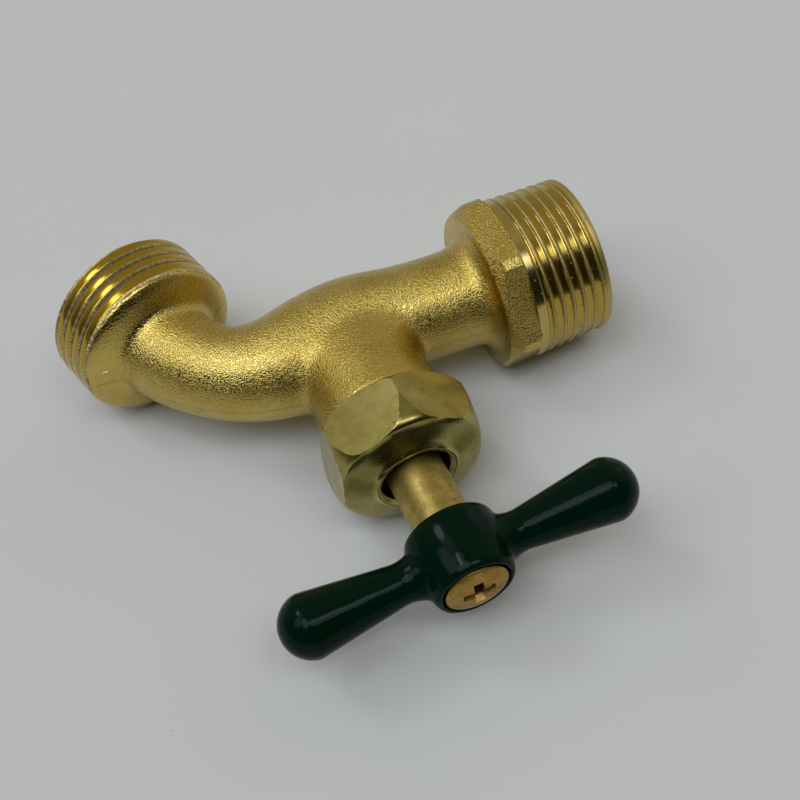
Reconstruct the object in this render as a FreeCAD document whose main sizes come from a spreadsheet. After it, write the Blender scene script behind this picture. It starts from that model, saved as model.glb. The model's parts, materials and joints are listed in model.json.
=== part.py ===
import FreeCAD, Part
import math
import os

import Sketcher
from FreeCAD import Placement, Rotation, Vector

# Garden tap with a bent nose, lying on its side. Millimetres.
# X runs along the inlet towards the supply pipe and the origin is the middle of the inlet's end face.
# The stem points to -Y, the outlet to +Y with a lean to -X, and Z is up from the table it lies on.

os.makedirs("parts", exist_ok=True)
doc = FreeCAD.newDocument("GardenTap")
sheet = doc.addObject("Spreadsheet::Sheet", "Sizes")
rows = []


class Size:
    """A length that knows its value now and the sheet formula that gives it."""

    def __init__(self, value, text):
        self.value = value
        self.text = text

    def join(self, other, sign, swap=False):
        a = self
        b = other if isinstance(other, Size) else Size(float(other), repr(other))
        if swap:
            a, b = b, a
        if sign == "+":
            value = a.value + b.value
        elif sign == "-":
            value = a.value - b.value
        elif sign == "*":
            value = a.value * b.value
        else:
            value = a.value / b.value
        return Size(value, "(" + a.text + " " + sign + " " + b.text + ")")

    def __add__(self, other):
        return self.join(other, "+")

    def __radd__(self, other):
        return self.join(other, "+", True)

    def __sub__(self, other):
        return self.join(other, "-")

    def __rsub__(self, other):
        return self.join(other, "-", True)

    def __mul__(self, other):
        return self.join(other, "*")

    def __rmul__(self, other):
        return self.join(other, "*", True)

    def __truediv__(self, other):
        return self.join(other, "/")

    def __neg__(self):
        return 0 - self


def size(name, value):
    rows.append(name)
    row = len(rows)
    sheet.set("A%d" % row, name)
    sheet.set("B%d" % row, str(value))
    sheet.setAlias("B%d" % row, name)
    return Size(float(value), "Sizes." + name)


def number(value):
    return value.value if isinstance(value, Size) else float(value)


def bind(thing, path, value, unit=""):
    if isinstance(value, Size):
        thing.setExpression(path, value.text + unit)


# Driving dimensions, worked out from the photo against the standard hose thread
inlet_thread_radius = size("inlet_thread_radius", 13.335)
inlet_thread_length = size("inlet_thread_length", 12.9)
inlet_thread_chamfer = size("inlet_thread_chamfer", 1.2)
inlet_bore = size("inlet_bore", 9.6)
inlet_bore_depth = size("inlet_bore_depth", 14.0)
inlet_cone = size("inlet_cone", 4.5)
waterway = size("waterway", 6.0)
waterway_end = size("waterway_end", 25.0)

hex_flats = size("hex_flats", 25.4)
hex_width = size("hex_width", 4.8)
hex_round = size("hex_round", 14.25)
hex_bevel = size("hex_bevel", 1.6)
hex_fillet = size("hex_fillet", 2.8)

stem_from_inlet = size("stem_from_inlet", 40.7)
casting_wall = size("casting_wall", 2.4)

hose_thread_radius = size("hose_thread_radius", 13.495)
hose_thread_length = size("hose_thread_length", 9.4)
hose_thread_chamfer = size("hose_thread_chamfer", 0.7)
hose_root_radius = size("hose_root_radius", 12.1)
hose_relief = size("hose_relief", 1.1)
outlet_x = size("outlet_x", 67.5)
outlet_y = size("outlet_y", 14.1)
outlet_lean = size("outlet_lean", 16.25)
outlet_bore = size("outlet_bore", 8.6)
outlet_bore_start = size("outlet_bore_start", 3.6)
collar_radius = size("collar_radius", 12.5)
collar_depth = size("collar_depth", 2.2)
collar_crown = size("collar_crown", 5.0)
collar_hollow = size("collar_hollow", 2.2)

seat_level = size("seat_level", 1.2)
seat_height = size("seat_height", 0.8)
seat_width = size("seat_width", 0.8)
orifice_radius = size("orifice_radius", 3.6)
lower_chamber_y = size("lower_chamber_y", 5.2)
duct_half_y = size("duct_half_y", 2.9)
duct_half_z = size("duct_half_z", 4.8)
duct_bend = size("duct_bend", 28.4)
duct_bottom = size("duct_bottom", 33.8)
duct_blind = size("duct_blind", 3.5)
spout_start_x = size("spout_start_x", 3.8)
spout_start_y = size("spout_start_y", -2.6)
spout_start_radius = size("spout_start_radius", 3.5)

neck_foot = size("neck_foot", 1.0)
neck_foot_half_x = size("neck_foot_half_x", 14.2)
neck_foot_half_z = size("neck_foot_half_z", 7.9)
neck_flare = size("neck_flare", 4.5)
neck_flare_half_x = size("neck_flare_half_x", 11.9)
neck_flare_half_z = size("neck_flare_half_z", 8.5)
neck_waist = size("neck_waist", 8.5)
neck_waist_half_z = size("neck_waist_half_z", 9.1)
neck_upper = size("neck_upper", 13.0)
neck_upper_half_z = size("neck_upper_half_z", 9.6)
neck_shoulder = size("neck_shoulder", 16.7)
neck_shoulder_radius = size("neck_shoulder_radius", 10.0)
neck_top = size("neck_top", 23.6)
neck_thread_radius = size("neck_thread_radius", 8.95)
thread_play = size("thread_play", 0.05)
box_radius = size("box_radius", 7.2)
box_bottom = size("box_bottom", 19.0)
box_play = size("box_play", 0.05)

stem_radius = size("stem_radius", 4.37)
stem_play = size("stem_play", 0.08)
stem_thread_radius = size("stem_thread_radius", 6.35)
stem_thread_start = size("stem_thread_start", 7.0)
stem_thread_length = size("stem_thread_length", 6.0)
stem_foot_radius = size("stem_foot_radius", 4.2)
stem_foot = size("stem_foot", 3.7)
stem_shoulder = size("stem_shoulder", 39.2)
drive_flats = size("drive_flats", 6.1)
drive_length = size("drive_length", 7.2)
drive_play = size("drive_play", 0.05)

socket_radius = size("socket_radius", 2.1)
socket_depth = size("socket_depth", 4.5)
spigot_play = size("spigot_play", 0.08)
ring_level = size("ring_level", 6.1)
ring_height = size("ring_height", 0.7)
ring_outer = size("ring_outer", 2.6)
ring_inner = size("ring_inner", 1.62)
ring_play = size("ring_play", 0.06)

holder_radius = size("holder_radius", 5.3)
holder_top = size("holder_top", 3.4)
holder_skirt = size("holder_skirt", 1.3)
washer_radius = size("washer_radius", 4.9)
washer_height = size("washer_height", 2.8)
washer_play = size("washer_play", 0.05)
plate_radius = size("plate_radius", 3.0)
plate_height = size("plate_height", 0.5)
small_screw_radius = size("small_screw_radius", 1.45)
small_head_radius = size("small_head_radius", 2.6)
small_head_height = size("small_head_height", 1.3)
small_screw_length = size("small_screw_length", 6.0)

packing_washer_height = size("packing_washer_height", 0.8)
packing_ring_height = size("packing_ring_height", 1.6)
follower_nose = size("follower_nose", 1.4)
follower_flange = size("follower_flange", 1.0)
follower_radius = size("follower_radius", 8.3)

nut_flats = size("nut_flats", 22.0)
nut_back = size("nut_back", 17.0)
nut_front = size("nut_front", 28.4)
nut_hole = size("nut_hole", 5.5)
nut_turn = size("nut_turn", -3.5)

handle_turn = size("handle_turn", 3.3)
hub_skirt = size("hub_skirt", 0.75)
hub_length = size("hub_length", 10.15)
hub_radius = size("hub_radius", 7.0)
hub_bulge = size("hub_bulge", 20.0)
hub_round = size("hub_round", 3.2)
hub_recess = size("hub_recess", 5.15)
hub_recess_depth = size("hub_recess_depth", 1.4)
bar_height = size("bar_height", 4.65)
bar_half = size("bar_half", 27.65)
bar_tip = size("bar_tip", 4.97)
bar_root = size("bar_root", 3.05)
root_flare = size("root_flare", 1.3)
root_reach = size("root_reach", 3.8)
handle_screw_radius = size("handle_screw_radius", 1.95)
handle_head_radius = size("handle_head_radius", 4.82)
handle_head_height = size("handle_head_height", 1.55)
handle_head_crown = size("handle_head_crown", 0.8)
handle_head_dome = size("handle_head_dome", 15.0)
handle_screw_length = size("handle_screw_length", 9.0)

# Stations of the barrel and spout: x back from the inlet face, y, radius, turn of the section
station_table = [
    ("a", 18.1, 0.0, 8.24, 0.0),
    ("b", 24.3, 0.13, 8.12, -2.8),
    ("c", 29.2, 0.53, 8.17, -6.0),
    ("d", 34.6, 1.2, 8.46, -5.0),
    ("e", 40.4, 1.46, 8.8, 4.6),
    ("f", 45.2, 0.8, 8.86, 8.0),
    ("g", 49.2, 0.2, 8.65, 3.0),
    ("h", 52.8, 0.15, 8.23, -6.8),
    ("i", 55.85, 0.82, 7.81, -18.0),
    ("j", 58.7, 2.1, 7.53, -29.8),
    ("k", 61.3, 3.94, 7.46, -40.4),
    ("l", 63.4, 6.1, 7.6, -50.0),
    ("m", 65.2, 8.5, 7.85, -60.0),
    ("n", 66.6, 11.2, 8.2, -69.0),
]
stations = []
for letter, sx, sy, sr, turn in station_table:
    stations.append((
        size("station_" + letter + "_x", sx),
        size("station_" + letter + "_y", sy) if sy else 0.0,
        size("station_" + letter + "_radius", sr),
        size("station_" + letter + "_turn", turn) if turn else 0.0,
    ))
doc.recompute()


def plane_of(body, role):
    for feature in body.Origin.OriginFeatures:
        if feature.Role == role:
            return feature
    return None


def new_sketch(body, name, role, x=0.0, y=0.0, z=0.0, spin=None, about=(0, 0, 1)):
    """A sketch on one of the body's own planes, moved by x, y, z and spun about a local axis."""
    sketch = body.newObject("Sketcher::SketchObject", name)
    sketch.AttachmentSupport = [(plane_of(body, role), "")]
    sketch.MapMode = "FlatFace"
    rotation = Rotation(Vector(*about), number(spin)) if spin is not None else Rotation()
    sketch.AttachmentOffset = Placement(Vector(number(x), number(y), number(z)), rotation)
    bind(sketch, "AttachmentOffset.Base.x", x)
    bind(sketch, "AttachmentOffset.Base.y", y)
    bind(sketch, "AttachmentOffset.Base.z", z)
    if isinstance(spin, Size):
        bind(sketch, "AttachmentOffset.Rotation.Angle", spin, " * 1 deg")
    return sketch


def pin_point(sketch, geometry, end, x, y):
    """Hold one point of the sketch at x, y from its origin."""
    for kind, axis, value in (("DistanceX", -2, x), ("DistanceY", -1, y)):
        if not isinstance(value, Size) and float(value) == 0.0:
            sketch.addConstraint(Sketcher.Constraint("PointOnObject", geometry, end, axis))
            continue
        index = sketch.addConstraint(
            Sketcher.Constraint(kind, -1, 1, geometry, end, number(value)))
        bind(sketch, "Constraints[%d]" % index, value)


def circle(sketch, x, y, radius):
    centre = Vector(number(x), number(y), 0)
    index = sketch.addGeometry(Part.Circle(centre, Vector(0, 0, 1), number(radius)))
    pin_point(sketch, index, 3, x, y)
    held = sketch.addConstraint(Sketcher.Constraint("Radius", index, number(radius)))
    bind(sketch, "Constraints[%d]" % held, radius)


def outline(sketch, points, arcs=None):
    """A closed outline through the points; arcs[i] = (radius, side) rounds the piece after point i."""
    arcs = arcs or {}
    spots = [Vector(number(x), number(y), 0) for x, y in points]
    count = len(spots)
    ends = []
    radii = []
    for i in range(count):
        start, stop = spots[i], spots[(i + 1) % count]
        if i not in arcs:
            index = sketch.addGeometry(Part.LineSegment(start, stop))
            ends.append((index, 1, 2))
            continue
        radius, side = arcs[i]
        chord = stop - start
        normal = Vector(-chord.y, chord.x, 0).normalize()
        rise = math.sqrt(max(number(radius) ** 2 - chord.Length ** 2 / 4, 1e-9))
        centre = (start + stop) * 0.5 + normal * (rise * side)
        first = math.atan2(start.y - centre.y, start.x - centre.x)
        last = math.atan2(stop.y - centre.y, stop.x - centre.x)
        round_edge = Part.Circle(centre, Vector(0, 0, 1), number(radius))
        if side > 0:
            index = sketch.addGeometry(Part.ArcOfCircle(round_edge, first, last))
            ends.append((index, 1, 2))
        else:
            index = sketch.addGeometry(Part.ArcOfCircle(round_edge, last, first))
            ends.append((index, 2, 1))
        radii.append((index, radius))
    for i in range(count):
        here, after = ends[i], ends[(i + 1) % count]
        sketch.addConstraint(
            Sketcher.Constraint("Coincident", here[0], here[2], after[0], after[1]))
    for i in range(count):
        pin_point(sketch, ends[i][0], ends[i][1], points[i][0], points[i][1])
    for index, radius in radii:
        held = sketch.addConstraint(Sketcher.Constraint("Radius", index, number(radius)))
        bind(sketch, "Constraints[%d]" % held, radius)


def oval(sketch, x, y, half_x, half_y):
    """An upright or flat ellipse held by its centre and its two half widths."""
    wide = number(half_x) > number(half_y)
    major, minor = (half_x, half_y) if wide else (half_y, half_x)
    centre = Vector(number(x), number(y), 0)
    long_way = Vector(1, 0, 0) if wide else Vector(0, 1, 0)
    short_way = Vector(0, 1, 0) if wide else Vector(-1, 0, 0)
    index = sketch.addGeometry(
        Part.Ellipse(centre + long_way * number(major), centre + short_way * number(minor), centre))
    sketch.exposeInternalGeometry(index)
    pin_point(sketch, index, 3, x, y)
    sketch.addConstraint(Sketcher.Constraint("Horizontal" if wide else "Vertical", index + 1))
    for line, half in ((index + 1, major), (index + 2, minor)):
        held = sketch.addConstraint(Sketcher.Constraint("Distance", line, 2 * number(half)))
        bind(sketch, "Constraints[%d]" % held, 2 * half)


def square(sketch, half):
    outline(sketch, [(-half, -half), (half, -half), (half, half), (-half, half)])


def new_body(label, on_stem=False, turn=None):
    body = doc.addObject("PartDesign::Body", label)
    body.Label = label
    if on_stem:
        # The body's own Z runs out along the stem, which is the tap's -Y
        rotation = Rotation(Vector(1, 0, 0), 90)
        body.Placement = Placement(Vector(-number(stem_from_inlet), 0, 0), rotation)
        bind(body, "Placement.Base.x", -stem_from_inlet)
    return body


def feature(body, kind, name, sketch, axis=None, **values):
    made = body.newObject("PartDesign::" + kind, name)
    made.Profile = sketch
    if axis is not None:
        made.ReferenceAxis = (sketch, [axis])
        made.Angle = 360.0
    for key, value in values.items():
        if isinstance(value, Size):
            setattr(made, key, value.value)
            bind(made, key, value)
        else:
            setattr(made, key, value)
    sketch.Visibility = False
    return made


def loft(body, kind, name, sketches, ruled=False):
    made = body.newObject("PartDesign::" + kind, name)
    made.Profile = sketches[0]
    made.Sections = sketches[1:]
    made.Ruled = ruled
    made.Closed = False
    for sketch in sketches:
        sketch.Visibility = False
    return made


# body_casting: barrel and spout as one smooth run of round sections
casting = new_body("body_casting")
sections = []
for number_of, (sx, sy, sr, turn) in enumerate(stations):
    spin = turn if isinstance(turn, Size) else None
    section = new_sketch(casting, "BarrelSection%d" % number_of, "YZ_Plane",
                         sy, 0.0, -sx, spin, (0, 1, 0))
    circle(section, 0.0, 0.0, sr)
    sections.append(section)
last = new_sketch(casting, "BarrelSectionEnd", "YZ_Plane",
                  outlet_y, 0.0, -outlet_x, -90 + outlet_lean, (0, 1, 0))
circle(last, 0.0, 0.0, stations[-1][2] + 0.3)
sections.append(last)
loft(casting, "AdditiveLoft", "BarrelAndSpout", sections)

# Neck that flares out of the barrel and ends in the shoulder under the nut
neck_sections = []
for index, (level, half_x, half_z) in enumerate([
        (neck_foot, neck_foot_half_x, neck_foot_half_z),
        (neck_flare, neck_flare_half_x, neck_flare_half_z),
        (neck_waist, neck_shoulder_radius - 0.05, neck_waist_half_z),
        (neck_upper, neck_shoulder_radius - 0.25, neck_upper_half_z),
        (neck_shoulder, neck_shoulder_radius + 0.05, neck_shoulder_radius)]):
    section = new_sketch(casting, "NeckSection%d" % index, "XZ_Plane",
                         -stem_from_inlet, 0.0, level)
    oval(section, 0.0, 0.0, half_x, half_z)
    neck_sections.append(section)
loft(casting, "AdditiveLoft", "Neck", neck_sections)

# Threaded top of the neck, thread left as its plain outside cylinder
sketch = new_sketch(casting, "NeckThreadSketch", "XZ_Plane",
                    -stem_from_inlet, 0.0, neck_shoulder - 1.0)
circle(sketch, 0.0, 0.0, neck_thread_radius)
feature(casting, "Pad", "NeckThread", sketch, Length=neck_top - neck_shoulder + 1.0)

# Inlet end: fillet on to the barrel, core of the hexagon, pipe thread with its end chamfer
hex_back = inlet_thread_length + hex_width
barrel_radius = stations[0][2]
sketch = new_sketch(casting, "InletSketch", "XY_Plane")
outline(sketch, [
    (-hex_back - hex_fillet - 1.5, 0.0),
    (0.0, 0.0),
    (0.0, inlet_thread_radius - inlet_thread_chamfer * 0.6),
    (-inlet_thread_chamfer, inlet_thread_radius),
    (-inlet_thread_length, inlet_thread_radius),
    (-inlet_thread_length, hex_flats / 2 - 0.5),
    (-hex_back, hex_flats / 2 - 0.5),
    (-hex_back, barrel_radius + hex_fillet),
    (-hex_back - hex_fillet, barrel_radius),
    (-hex_back - hex_fillet - 1.5, barrel_radius - 0.4),
], {7: (hex_fillet, -1)})
feature(casting, "Revolution", "InletEnd", sketch, "H_Axis")

# Hexagon for the spanner, a corner in the plane of the tap
sketch = new_sketch(casting, "HexSketch", "YZ_Plane", 0.0, 0.0, -hex_back)
across = hex_flats / math.sqrt(3.0)
outline(sketch, [
    (across, 0.0),
    (across / 2, hex_flats / 2),
    (-across / 2, hex_flats / 2),
    (-across, 0.0),
    (-across / 2, -hex_flats / 2),
    (across / 2, -hex_flats / 2),
])
feature(casting, "Pad", "Hexagon", sketch, Length=hex_width)
sketch = new_sketch(casting, "HexBevelSketch", "XY_Plane")
outline(sketch, [
    (-hex_back - 0.6, hex_round - 2.4),
    (-hex_back + hex_bevel, hex_round),
    (-inlet_thread_length - 0.5, hex_round),
    (-inlet_thread_length + 0.3, hex_round - 0.7),
    (-inlet_thread_length + 0.3, hex_round + 3.0),
    (-hex_back - 0.6, hex_round + 3.0),
])
feature(casting, "Groove", "HexBevel", sketch, "H_Axis")

# Outlet end: domed collar that runs on to the spout, then the hose thread
sketch = new_sketch(casting, "OutletSketch", "XY_Plane", -outlet_x, outlet_y, 0.0, outlet_lean)
spout_radius = stations[-1][2]
outline(sketch, [
    (0.0, -collar_depth - 2.2),
    (spout_radius - 0.4, -collar_depth - 2.2),
    (spout_radius + 0.05, -collar_depth - 1.4),
    (spout_radius + 1.5, -collar_depth),
    (collar_radius, 0.0),
    (hose_root_radius, 0.0),
    (hose_root_radius, hose_relief * 0.4),
    (hose_thread_radius, hose_relief),
    (hose_thread_radius, hose_thread_length - hose_thread_chamfer),
    (hose_thread_radius - hose_thread_chamfer, hose_thread_length),
    (0.0, hose_thread_length),
], {2: (collar_hollow, -1), 3: (collar_crown, 1)})
feature(casting, "Revolution", "OutletEnd", sketch, "V_Axis")

# Water passages: inlet bore, duct under the seat, seat and neck bores, spout bore, outlet bore
sketch = new_sketch(casting, "InletBoreSketch", "XY_Plane")
outline(sketch, [
    (0.5, 0.0),
    (0.5, inlet_bore),
    (-inlet_bore_depth, inlet_bore),
    (-inlet_bore_depth - inlet_cone, waterway),
    (-waterway_end, waterway),
    (-waterway_end, 0.0),
])
feature(casting, "Groove", "InletBore", sketch, "H_Axis")
duct = []
for index, (dx, dy, half_y, half_z) in enumerate([
        (waterway_end - 1.0, 0.1, waterway, waterway - 0.02),
        (duct_bend, 0.6, waterway - 0.2, waterway - 0.22),
        (duct_bottom, lower_chamber_y, duct_half_y, duct_half_z + 0.2),
        (stem_from_inlet, lower_chamber_y, duct_half_y, duct_half_z),
        (stem_from_inlet + duct_blind, lower_chamber_y + 0.4, duct_half_y - 1.1, duct_half_z - 1.8)]):
    section = new_sketch(casting, "DuctSection%d" % index, "YZ_Plane", dy, 0.0, -dx)
    oval(section, 0.0, 0.0, half_y, half_z)
    duct.append(section)
loft(casting, "SubtractiveLoft", "LowerDuct", duct, True)

neck_bore = stem_thread_radius + thread_play
seat_floor = -seat_level - seat_height
sketch = new_sketch(casting, "NeckBoreSketch", "XZ_Plane", -stem_from_inlet, 0.0, 0.0, 90, (1, 0, 0))
outline(sketch, [
    (0.0, -lower_chamber_y),
    (orifice_radius, -lower_chamber_y),
    (orifice_radius, -seat_level),
    (orifice_radius + seat_width, -seat_level),
    (orifice_radius + seat_width, seat_floor),
    (neck_bore, seat_floor),
    (neck_bore, box_bottom),
    (box_radius, box_bottom),
    (box_radius, neck_top + 1.0),
    (0.0, neck_top + 1.0),
])
feature(casting, "Groove", "NeckBore", sketch, "V_Axis")

spout = []
start = new_sketch(casting, "SpoutBoreStart", "YZ_Plane",
                   spout_start_y, 0.0, -stem_from_inlet - spout_start_x)
circle(start, 0.0, 0.0, spout_start_radius)
spout.append(start)
for index in (6, 7, 9, 10, 11, 12, 13):
    sx, sy, sr, turn = stations[index]
    drop = 0.7 if index == 6 else 0.0
    section = new_sketch(casting, "SpoutBore%d" % index, "YZ_Plane",
                         sy - drop, 0.0, -sx, turn, (0, 1, 0))
    circle(section, 0.0, 0.0, sr - casting_wall - (0.9 if index == 6 else 0.0))
    spout.append(section)
loft(casting, "SubtractiveLoft", "SpoutBore", spout)
sketch = new_sketch(casting, "OutletBoreSketch", "XY_Plane", -outlet_x, outlet_y, 0.0, outlet_lean)
outline(sketch, [
    (0.0, -outlet_bore_start),
    (spout_radius - casting_wall, -outlet_bore_start),
    (outlet_bore, -0.6),
    (outlet_bore, hose_thread_length + 1.0),
    (0.0, hose_thread_length + 1.0),
])
feature(casting, "Groove", "OutletBore", sketch, "V_Axis")


def turned(body, name, points, arcs=None):
    """A piece turned about the stem, its outline in radius and height along the stem."""
    drawn = new_sketch(body, name + "Sketch", "XZ_Plane")
    outline(drawn, points, arcs)
    return feature(body, "Revolution", name, drawn, "V_Axis")


def bored(body, name, points, arcs=None):
    drawn = new_sketch(body, name + "Sketch", "XZ_Plane")
    outline(drawn, points, arcs)
    return feature(body, "Groove", name, drawn, "V_Axis")


def ring(label, inner, outer, bottom, top):
    body = new_body(label, True)
    turned(body, "Ring", [(inner, bottom), (outer, bottom), (outer, top), (inner, top)])
    return body


# stem: swivel socket at the foot, thread, plain shank, square drive and a tapped end
stem = new_body("stem", True)
thread_end = stem_thread_start + stem_thread_length
turned(stem, "StemTurned", [
    (0.0, stem_foot),
    (stem_foot_radius, stem_foot),
    (stem_foot_radius, stem_thread_start),
    (stem_thread_radius - 0.5, stem_thread_start),
    (stem_thread_radius, stem_thread_start + 0.5),
    (stem_thread_radius, thread_end - 0.5),
    (stem_thread_radius - 0.5, thread_end),
    (stem_radius, thread_end),
    (stem_radius, stem_shoulder),
    (0.0, stem_shoulder),
])
sketch = new_sketch(stem, "DriveSketch", "XY_Plane", 0.0, 0.0, stem_shoulder, handle_turn)
square(sketch, drive_flats / 2)
feature(stem, "Pad", "Drive", sketch, Length=drive_length)
drive_top = stem_shoulder + drive_length
bored(stem, "Socket", [
    (0.0, stem_foot - 0.5),
    (socket_radius, stem_foot - 0.5),
    (socket_radius, ring_level - ring_play),
    (ring_outer + ring_play, ring_level - ring_play),
    (ring_outer + ring_play, ring_level + ring_height + ring_play),
    (socket_radius, ring_level + ring_height + ring_play),
    (socket_radius, stem_foot + socket_depth),
    (0.0, stem_foot + socket_depth),
])
bored(stem, "TappedHole", [
    (0.0, drive_top - handle_screw_length),
    (handle_screw_radius + thread_play, drive_top - handle_screw_length),
    (handle_screw_radius + thread_play, drive_top + 0.5),
    (0.0, drive_top + 0.5),
])

# washer_holder: swivels on the stem's foot and carries the seat washer in a shallow cup
holder = new_body("washer_holder", True)
washer_top = washer_height - seat_level
spigot = socket_radius - spigot_play
turned(holder, "HolderTurned", [
    (0.0, washer_top),
    (washer_radius + washer_play, washer_top),
    (washer_radius + washer_play, washer_top - holder_skirt),
    (holder_radius, washer_top - holder_skirt),
    (holder_radius, holder_top - 0.5),
    (holder_radius - 0.5, holder_top),
    (spigot, holder_top),
    (spigot, ring_level - ring_play),
    (ring_inner - ring_play, ring_level - ring_play),
    (ring_inner - ring_play, ring_level + ring_height + ring_play),
    (spigot, ring_level + ring_height + ring_play),
    (spigot, stem_foot + socket_depth - 0.3),
    (0.0, stem_foot + socket_depth - 0.3),
])
plate_level = -seat_level - plate_height
screw_end = plate_level + small_screw_length
bored(holder, "ScrewHole", [
    (0.0, washer_top - 1.0),
    (small_screw_radius + thread_play, washer_top - 1.0),
    (small_screw_radius + thread_play, screw_end + 0.3),
    (0.0, screw_end + 0.3),
])

# holder_ring: open spring ring that keeps the holder on the stem
holder_ring = new_body("holder_ring", True)
turned(holder_ring, "Ring", [
    (ring_inner, ring_level),
    (ring_outer, ring_level),
    (ring_outer, ring_level + ring_height),
    (ring_inner, ring_level + ring_height),
])
sketch = new_sketch(holder_ring, "GapSketch", "XY_Plane", 0.0, 0.0, ring_level - 0.5)
outline(sketch, [
    (0.5, -0.6), (ring_outer + 1.0, -0.6), (ring_outer + 1.0, 0.6), (0.5, 0.6)])
feature(holder_ring, "Pocket", "Gap", sketch, Length=ring_height + 1.0, Reversed=True)

# seat_washer, washer_plate and washer_screw under the holder
seat_washer = ring("seat_washer", small_screw_radius + 0.3, washer_radius, -seat_level, washer_top)
washer_plate = ring("washer_plate", small_screw_radius + 0.15, plate_radius, plate_level, -seat_level)
washer_screw = new_body("washer_screw", True)
head_level = plate_level - small_head_height
turned(washer_screw, "ScrewTurned", [
    (0.0, head_level),
    (small_head_radius - 0.5, head_level),
    (small_head_radius, head_level + 0.5),
    (small_head_radius, plate_level),
    (small_screw_radius, plate_level),
    (small_screw_radius, screw_end),
    (0.0, screw_end),
])
sketch = new_sketch(washer_screw, "SlotSketch", "XY_Plane", 0.0, 0.0, head_level)
outline(sketch, [
    (-small_head_radius, -0.35), (small_head_radius, -0.35),
    (small_head_radius, 0.35), (-small_head_radius, 0.35)])
feature(washer_screw, "Pocket", "Slot", sketch, Length=0.6, Reversed=True)

# Packing in the stuffing box: a washer at the bottom, two rings and the follower
packing_inner = stem_radius + stem_play
packing_outer = box_radius - box_play
level = box_bottom + packing_washer_height
packing_washer = ring("packing_washer", packing_inner, packing_outer, box_bottom, level)
lower_ring = ring("packing_ring_lower", stem_radius + 0.03, packing_outer,
                  level, level + packing_ring_height)
level = level + packing_ring_height
upper_ring = ring("packing_ring_upper", stem_radius + 0.03, packing_outer,
                  level, level + packing_ring_height)
level = level + packing_ring_height
follower = new_body("gland_follower", True)
follower_top = level + follower_nose + follower_flange
turned(follower, "FollowerTurned", [
    (packing_inner, level),
    (packing_outer, level),
    (packing_outer, level + follower_nose),
    (follower_radius, level + follower_nose),
    (follower_radius, follower_top - 0.3),
    (follower_radius - 0.3, follower_top),
    (packing_inner, follower_top),
])

# bonnet_nut: hexagon with turned ends, coned front with a raised lip, threaded inside
nut = new_body("bonnet_nut", True)
sketch = new_sketch(nut, "NutHexSketch", "XY_Plane", 0.0, 0.0, nut_back, nut_turn)
across = nut_flats / math.sqrt(3.0)
outline(sketch, [
    (0.0, across),
    (-nut_flats / 2, across / 2),
    (-nut_flats / 2, -across / 2),
    (0.0, -across),
    (nut_flats / 2, -across / 2),
    (nut_flats / 2, across / 2),
])
feature(nut, "Pad", "NutHex", sketch, Length=nut_front - nut_back)
bored(nut, "NutEnds", [
    (nut_flats / 2 - 0.9, nut_back - 0.5),
    (nut_flats / 2 - 0.5, nut_back),
    (across - 0.2, nut_back + 1.6),
    (across - 0.2, nut_front - 2.7),
    (nut_flats / 2 + 0.1, nut_front - 1.7),
    (nut_hole + 1.9, nut_front - 0.65),
    (nut_hole + 1.3, nut_front - 0.5),
    (nut_hole + 1.0, nut_front),
    (nut_hole + 1.0, nut_front + 1.0),
    (across + 3.0, nut_front + 1.0),
    (across + 3.0, nut_back - 0.5),
])
bored(nut, "NutBore", [
    (0.0, nut_back - 1.0),
    (neck_thread_radius + thread_play, nut_back - 1.0),
    (neck_thread_radius + thread_play, follower_top),
    (nut_hole, follower_top),
    (nut_hole, nut_front - 0.5),
    (nut_hole + 0.45, nut_front),
    (nut_hole + 0.45, nut_front + 1.0),
    (0.0, nut_front + 1.0),
])

# tee_handle: barrel-shaped hub, tapered bar with ball ends, square hole and screw recess
handle = new_body("tee_handle", True)
hub_bottom = stem_shoulder - hub_skirt
hub_front = hub_bottom + hub_length
bar_level = hub_bottom + bar_height
turned(handle, "Hub", [
    (0.0, hub_bottom),
    (hub_radius - 0.8, hub_bottom),
    (hub_radius + 0.05, hub_bottom + 0.9),
    (hub_radius - 0.55, hub_front - 1.6),
    (hub_radius - 1.15, hub_front),
    (0.0, hub_front),
], {1: (0.9, 1), 2: (hub_bulge, 1), 3: (hub_round, 1)})
sketch = new_sketch(handle, "BarSketch", "XZ_Plane", 0.0, bar_level, 0.0, handle_turn, (0, 1, 0))
reach = bar_half - bar_tip
flare_start = hub_radius + 2.4
flare_round = (root_reach * root_reach + root_flare * root_flare) / root_flare * 0.5
outline(sketch, [
    (-bar_half, 0.0),
    (bar_half, 0.0),
    (bar_half, 0.3),
    (reach + 0.66, bar_tip * 0.991),
    (flare_start, bar_root),
    (flare_start - root_reach, bar_root + root_flare),
    (-flare_start + root_reach, bar_root + root_flare),
    (-flare_start, bar_root),
    (-reach - 0.66, bar_tip * 0.991),
    (-bar_half, 0.3),
], {2: (bar_tip, 1), 4: (flare_round, -1), 6: (flare_round, -1), 8: (bar_tip, 1)})
feature(handle, "Revolution", "Bar", sketch, "H_Axis")
hub_web = drive_top + 0.2
hub_floor = hub_front - hub_recess_depth
bored(handle, "HubRecess", [
    (0.0, hub_web - 0.5),
    (handle_screw_radius + 0.35, hub_web - 0.5),
    (handle_screw_radius + 0.35, hub_floor),
    (hub_recess, hub_floor),
    (hub_recess, hub_front + 1.0),
    (0.0, hub_front + 1.0),
])
bored(handle, "HubCounterbore", [
    (0.0, hub_bottom - 1.0),
    (stem_radius + stem_play, hub_bottom - 1.0),
    (stem_radius + stem_play, stem_shoulder),
    (0.0, stem_shoulder),
])
sketch = new_sketch(handle, "SquareHoleSketch", "XY_Plane", 0.0, 0.0, hub_web, handle_turn)
square(sketch, drive_flats / 2 + drive_play)
feature(handle, "Pocket", "SquareHole", sketch, Length=hub_web - stem_shoulder)

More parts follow.
